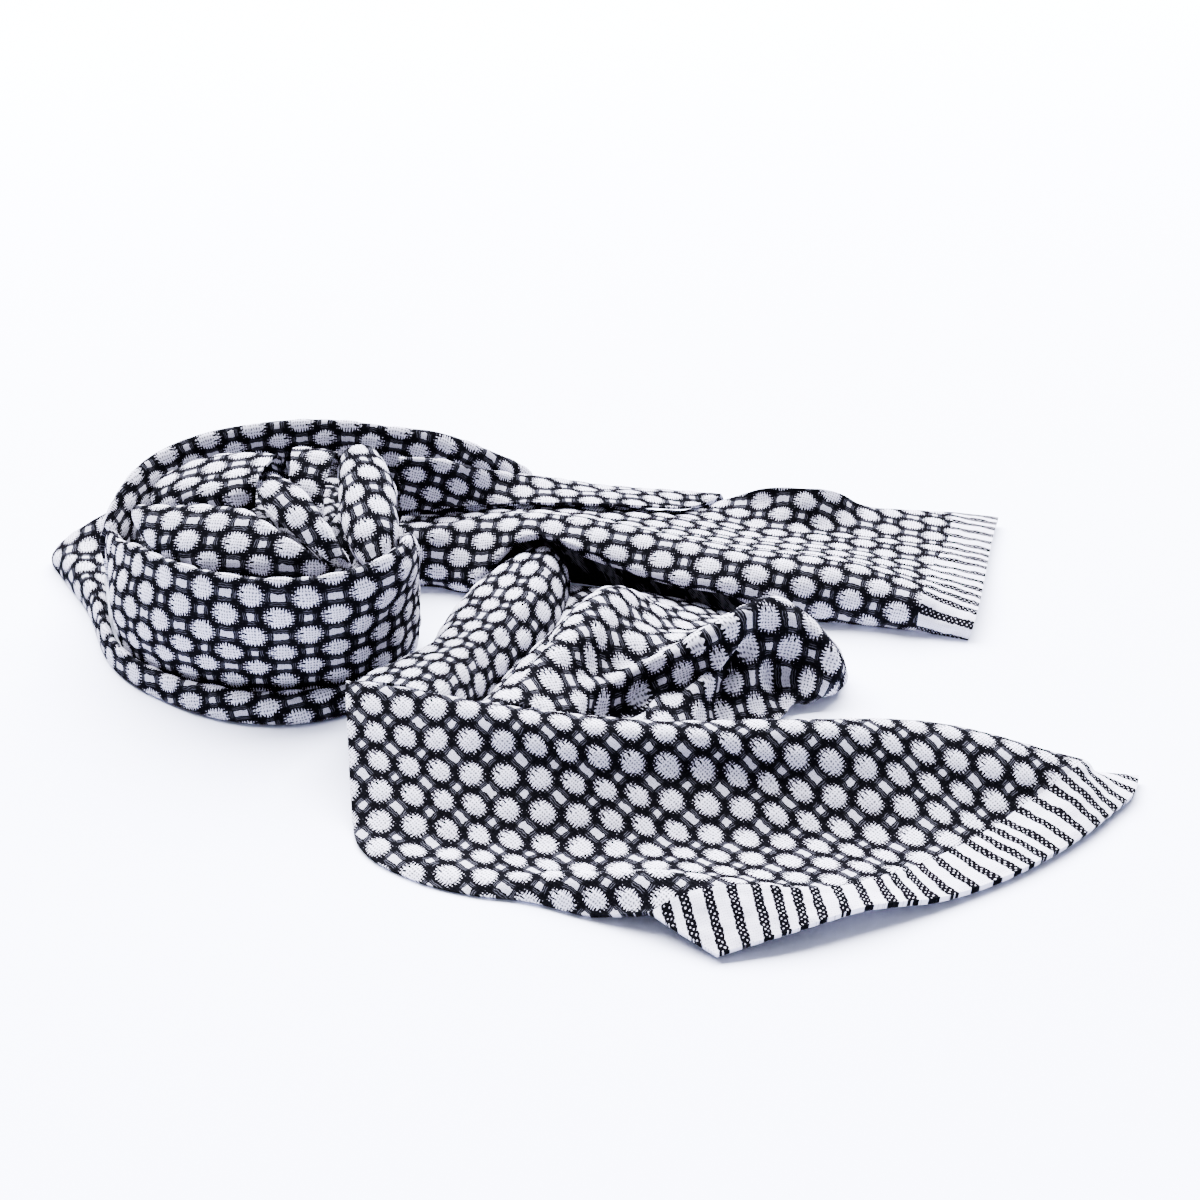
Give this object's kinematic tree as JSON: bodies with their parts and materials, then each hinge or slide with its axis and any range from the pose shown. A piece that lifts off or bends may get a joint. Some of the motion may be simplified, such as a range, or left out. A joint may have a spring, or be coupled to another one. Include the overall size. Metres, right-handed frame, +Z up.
{
  "type": "woven scarf",
  "caption": "Woven scarf dropped on a surface: one end wound into a loose coil, the rest folded, bunched and opened into a flat front panel with striped turned hems.",
  "frame": {"origin": "centre of the whole layout's bounding box, on the surface that the scarf lies on", "axes": "+X to the right in the picture and along the layout's longest side, +Y away from the camera, +Z up"},
  "size_m": [0.369, 0.2735, 0.064],
  "materials": {
    "cloth": "soft matt cotton, black and white double weave",
    "hem": "soft matt cotton, black and white stripes along the length",
    "layers": "soft matt cotton, hidden layers"
  },
  "bodies": {
    "root": {"front_panel": "cloth", "front_hem": "hem", "front_panel_layers": "layers", "middle_strand": "cloth", "middle_strand_layers": "layers", "heap": "cloth", "heap_layers": "layers", "rear_strand": "cloth", "rear_hem": "hem", "rear_strand_layers": "layers", "strand_flap": "cloth", "coil_main_wall": "cloth", "coil_outer_turn": "cloth", "coil_base_turn": "cloth", "coil_inner_wrap": "cloth", "coil_top_fold": "cloth", "coil_ridge_roll": "cloth", "coil_inner_rim": "cloth", "coil_right_fold": "cloth", "coil_layers": "layers"}
  },
  "joints": []
}
